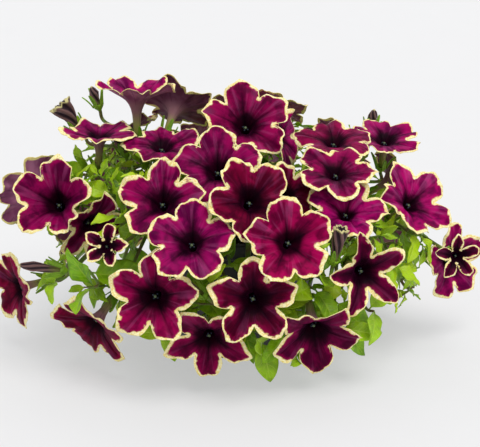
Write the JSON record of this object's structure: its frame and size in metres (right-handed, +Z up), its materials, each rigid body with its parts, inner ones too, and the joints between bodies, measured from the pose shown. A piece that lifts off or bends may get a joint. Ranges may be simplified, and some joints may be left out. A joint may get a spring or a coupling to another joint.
{
  "type": "potted petunia",
  "caption": "Potted trailing petunia in full flower: leafy stems spill over a thin plastic pot under a dome of dark five-lobed blooms with pale margins.",
  "frame": {"origin": "centre of the pot's flat underside", "axes": "+Z up, -Y towards the front of the plant and +X to the right as seen from the front"},
  "size_m": [0.3441, 0.2719, 0.1875],
  "materials": {
    "pot": "satin",
    "soil": "rough",
    "leaf": "satin",
    "petal": "satin"
  },
  "bodies": {
    "root": {"pot": "pot", "soil": "soil", "stem_front_left": "leaf", "bloom_front_left_1": "petal", "bloom_front_left_2": "petal", "bloom_front_left_3": "petal", "stem_front_right": "leaf", "bloom_front_right_1": "petal", "bloom_front_right_2": "petal", "bloom_front_right_3": "petal", "stem_front_crown": "leaf", "bloom_front_crown_1": "petal", "bloom_front_crown_2": "petal", "bloom_front_crown_3": "petal", "stem_left_crown": "leaf", "bloom_left_crown_1": "petal", "bloom_left_crown_2": "petal", "bloom_left_crown_3": "petal", "stem_left_low": "leaf", "bloom_left_low_1": "petal", "bloom_left_low_2": "petal", "stem_left": "leaf", "bloom_left_1": "petal", "bloom_left_2": "petal", "bloom_left_3": "petal", "stem_left_top": "leaf", "bloom_left_top_1": "petal", "bloom_left_top_2": "petal", "bloom_left_top_3": "petal", "stem_crown": "leaf", "bloom_crown_1": "petal", "bloom_crown_2": "petal", "bloom_crown_3": "petal", "stem_right_front": "leaf", "bloom_right_front_1": "petal", "bloom_right_front_2": "petal", "stem_right_crown": "leaf", "bloom_right_crown_1": "petal", "bloom_right_crown_2": "petal", "bloom_right_crown_3": "petal", "stem_right": "leaf", "bloom_right_1": "petal", "bloom_right_2": "petal", "bloom_right_3": "petal", "stem_back_right": "leaf", "bloom_back_right_1": "petal", "bloom_back_right_2": "petal", "bloom_back_right_3": "petal", "bloom_back_right_4": "petal", "stem_back": "leaf", "bloom_back_1": "petal", "bloom_back_2": "petal", "bloom_back_3": "petal", "stem_back_left": "leaf", "bloom_back_left_1": "petal", "bloom_back_left_2": "petal", "bloom_back_left_3": "petal", "bloom_back_left_4": "petal", "bloom_back_left_5": "petal"}
  },
  "joints": []
}
